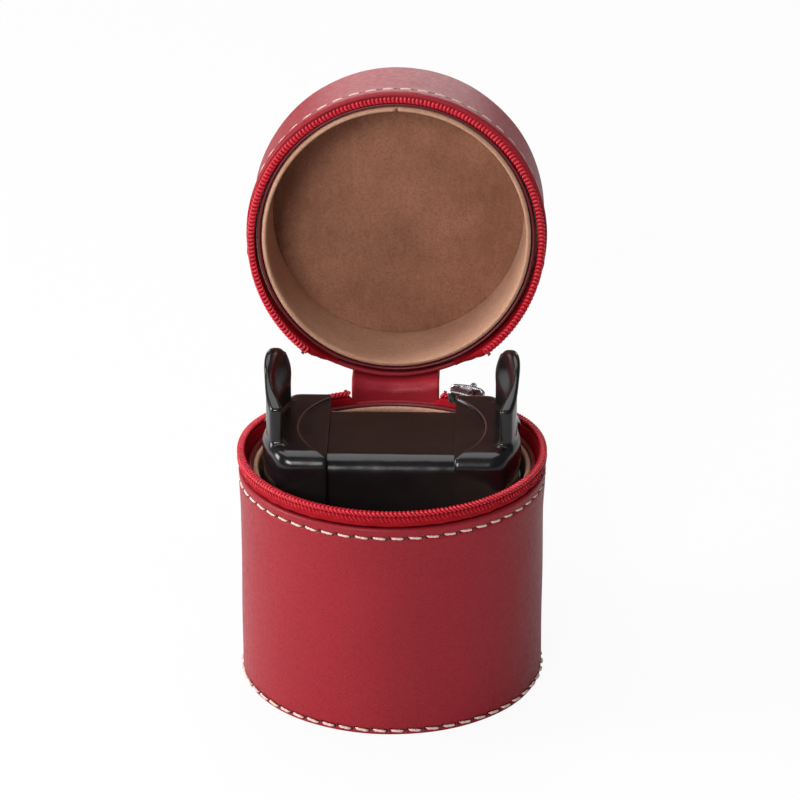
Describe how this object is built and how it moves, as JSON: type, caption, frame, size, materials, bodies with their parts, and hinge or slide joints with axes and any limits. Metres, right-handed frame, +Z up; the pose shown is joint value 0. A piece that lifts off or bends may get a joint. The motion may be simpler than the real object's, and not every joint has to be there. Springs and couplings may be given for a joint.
{
  "type": "watch travel case",
  "caption": "Round leather travel case with a zip-round lid on a leather hinge and a black plastic cuff whose two sprung finger ears squeeze together.",
  "frame": {"origin": "centre of the round underside, on the surface the case stands on", "axes": "+Z up, along the axis of the drum; -Y is the front; the hinge is at +Y and its line runs along X; the lid is open at rest"},
  "size_m": [0.079, 0.1189, 0.1406],
  "materials": {
    "red_leather": "fine-grained satin leather",
    "board": "grey-brown stiff board",
    "tan_suede": "tan suede lining",
    "brown_suede": "brown suede pad",
    "maroon_leather": "smooth dark leather facing",
    "zip_tape": "woven red tape",
    "zip_teeth": "moulded red coil",
    "thread": "waxed cream thread",
    "steel": "bright plated steel",
    "spring_steel": "spring wire",
    "black_plastic": "polished black moulding"
  },
  "bodies": {
    "base": {"base_leather": "red_leather", "base_core": "board", "base_bottom_leather": "red_leather", "base_bottom_board": "board", "base_lining": "tan_suede", "base_floor_pad": "brown_suede", "base_facing": "maroon_leather", "base_zip_tape": "zip_tape", "base_zip_teeth": "zip_teeth", "base_zip_stops": "steel", "base_top_stitches": "thread", "base_bottom_stitches": "thread", "base_hinge_leather": "red_leather", "cuff_tray": "black_plastic"},
    "lid": {"lid_leather": "red_leather", "lid_core": "board", "lid_top_leather": "red_leather", "lid_top_board": "board", "lid_lining": "tan_suede", "lid_top_pad": "brown_suede", "lid_facing": "maroon_leather", "lid_zip_tape": "zip_tape", "lid_zip_teeth": "zip_teeth", "lid_zip_stops": "steel", "lid_edge_stitches": "thread", "lid_top_stitches": "thread", "lid_hinge_leather": "red_leather"},
    "slider": {"zip_slider": "steel", "zip_bail": "steel"},
    "pull": {"pull_ring": "steel", "pull_eyelet": "steel", "pull_tab": "red_leather"},
    "cuff": {"cuff_core": "black_plastic", "guide_rod": "steel", "rod_clips": "steel", "spring_left": "spring_steel", "spring_right": "spring_steel"},
    "left_shoulder": {"shoulder_left": "black_plastic", "rod_cap_left": "black_plastic"},
    "right_shoulder": {"shoulder_right": "black_plastic", "rod_cap_right": "black_plastic"}
  },
  "joints": [
    {"name": "lid_hinge", "type": "hinge", "parent": "base", "child": "lid", "pos_m": [0, 0.04, 0.0615], "axis": [1, 0, 0], "range_deg": [0, 96]},
    {"name": "zip_travel", "type": "hinge", "parent": "base", "child": "slider", "pos_m": [0, 0, 0.0615], "axis": [0, 0, -1], "range_deg": [0, 304]},
    {"name": "pull_swing", "type": "hinge", "parent": "slider", "child": "pull", "pos_m": [0.02032, 0.03795, 0.0615], "axis": [0.8816, -0.472, 0], "range_deg": [0, 105]},
    {"name": "cuff_lift", "type": "slide", "parent": "base", "child": "cuff", "axis": [0, 0, -1], "range_m": [-0.045, 0]},
    {"name": "left_squeeze", "type": "slide", "parent": "cuff", "child": "left_shoulder", "axis": [1, 0, 0], "range_m": [0, 0.003], "stiffness_N_per_m": 400, "springref_m": -0.005, "deforming": ["spring_left"]},
    {"name": "right_squeeze", "type": "slide", "parent": "cuff", "child": "right_shoulder", "axis": [-1, 0, 0], "range_m": [0, 0.003], "stiffness_N_per_m": 400, "springref_m": -0.005, "deforming": ["spring_right"]}
  ]
}
